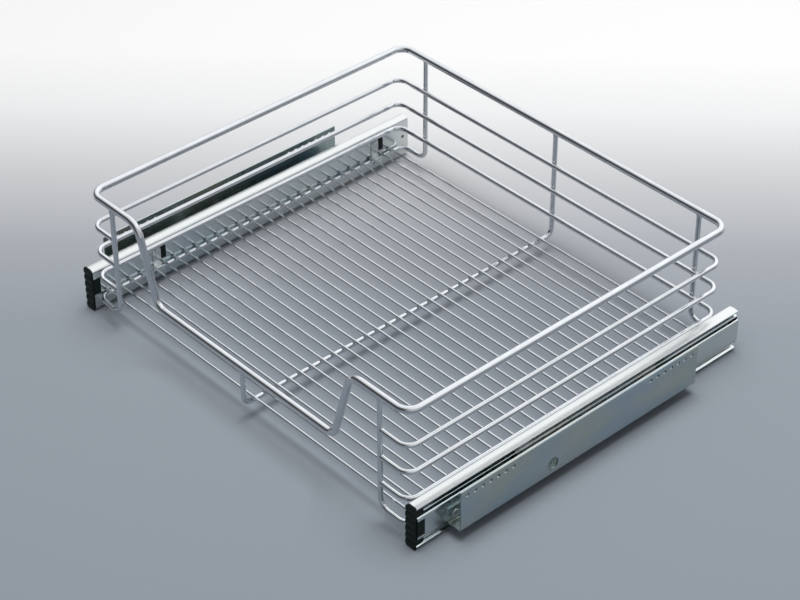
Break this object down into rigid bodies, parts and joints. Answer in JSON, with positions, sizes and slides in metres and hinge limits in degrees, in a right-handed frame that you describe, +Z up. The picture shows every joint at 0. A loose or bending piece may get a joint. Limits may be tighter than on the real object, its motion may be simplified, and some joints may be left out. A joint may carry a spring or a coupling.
{
  "type": "pull-out bottom drawer",
  "caption": "Pull-out wire basket with a lowered front grip, on full-extension ball-bearing slides with side brackets for a base cabinet.",
  "frame": {"origin": "on the floor, midway along the overall width and depth, with the basket pushed in", "axes": "+X to the right as seen by a person at the front, -Y the way the basket pulls out, +Z up"},
  "size_m": [0.5556, 0.453, 0.1559],
  "materials": {
    "wire_chrome": "bright chrome plating",
    "slide_zinc": "bright zinc plating",
    "bracket_zinc": "bluish zinc plating",
    "cage_steel": "plain rolled sheet",
    "ball_steel": "polished",
    "fixing_zinc": "zinc plating",
    "black_plastic": "moulded, matt"
  },
  "bodies": {
    "cabinet_side": {"left_cabinet_bracket": "bracket_zinc", "left_bracket_rivets": "fixing_zinc", "left_cabinet_member": "slide_zinc", "left_front_bumper": "black_plastic", "right_cabinet_bracket": "bracket_zinc", "right_bracket_rivets": "fixing_zinc", "right_cabinet_member": "slide_zinc", "right_front_bumper": "black_plastic"},
    "basket": {"top_rim": "wire_chrome", "upper_rail": "wire_chrome", "middle_rail": "wire_chrome", "lower_rail": "wire_chrome", "centre_spine": "wire_chrome", "floor_wires": "wire_chrome", "left_side_frame": "wire_chrome", "right_side_frame": "wire_chrome", "left_drawer_member": "slide_zinc", "left_front_cap": "black_plastic", "left_front_hook": "fixing_zinc", "left_rear_hook": "fixing_zinc", "left_hook_studs": "fixing_zinc", "left_front_clip": "black_plastic", "left_rear_clip": "black_plastic", "right_drawer_member": "slide_zinc", "right_front_cap": "black_plastic", "right_front_hook": "fixing_zinc", "right_rear_hook": "fixing_zinc", "right_hook_studs": "fixing_zinc", "right_front_clip": "black_plastic", "right_rear_clip": "black_plastic"},
    "left_middle": {"left_middle_member": "slide_zinc"},
    "left_outer_bearing": {"left_outer_cage": "cage_steel", "left_outer_balls": "ball_steel"},
    "left_inner_bearing": {"left_inner_cage": "cage_steel", "left_inner_balls": "ball_steel"},
    "right_middle": {"right_middle_member": "slide_zinc"},
    "right_outer_bearing": {"right_outer_cage": "cage_steel", "right_outer_balls": "ball_steel"},
    "right_inner_bearing": {"right_inner_cage": "cage_steel", "right_inner_balls": "ball_steel"}
  },
  "joints": [
    {"name": "basket_slide", "type": "slide", "parent": "cabinet_side", "child": "basket", "axis": [0, -1, 0], "range_m": [0, 0.45]},
    {"name": "left_middle_slide", "type": "slide", "parent": "cabinet_side", "child": "left_middle", "axis": [0, -1, 0], "range_m": [0, 0.225]},
    {"name": "left_outer_bearing_slide", "type": "slide", "parent": "cabinet_side", "child": "left_outer_bearing", "axis": [0, -1, 0], "range_m": [0, 0.3375]},
    {"name": "left_inner_bearing_slide", "type": "slide", "parent": "cabinet_side", "child": "left_inner_bearing", "axis": [0, -1, 0], "range_m": [0, 0.1125]},
    {"name": "right_middle_slide", "type": "slide", "parent": "cabinet_side", "child": "right_middle", "axis": [0, -1, 0], "range_m": [0, 0.225]},
    {"name": "right_outer_bearing_slide", "type": "slide", "parent": "cabinet_side", "child": "right_outer_bearing", "axis": [0, -1, 0], "range_m": [0, 0.3375]},
    {"name": "right_inner_bearing_slide", "type": "slide", "parent": "cabinet_side", "child": "right_inner_bearing", "axis": [0, -1, 0], "range_m": [0, 0.1125]}
  ],
  "couplings": [
    {"joint": "left_middle_slide", "follows": "basket_slide", "ratio": 0.5},
    {"joint": "left_outer_bearing_slide", "follows": "basket_slide", "ratio": 0.75},
    {"joint": "left_inner_bearing_slide", "follows": "basket_slide", "ratio": 0.25},
    {"joint": "right_middle_slide", "follows": "basket_slide", "ratio": 0.5},
    {"joint": "right_outer_bearing_slide", "follows": "basket_slide", "ratio": 0.75},
    {"joint": "right_inner_bearing_slide", "follows": "basket_slide", "ratio": 0.25}
  ]
}
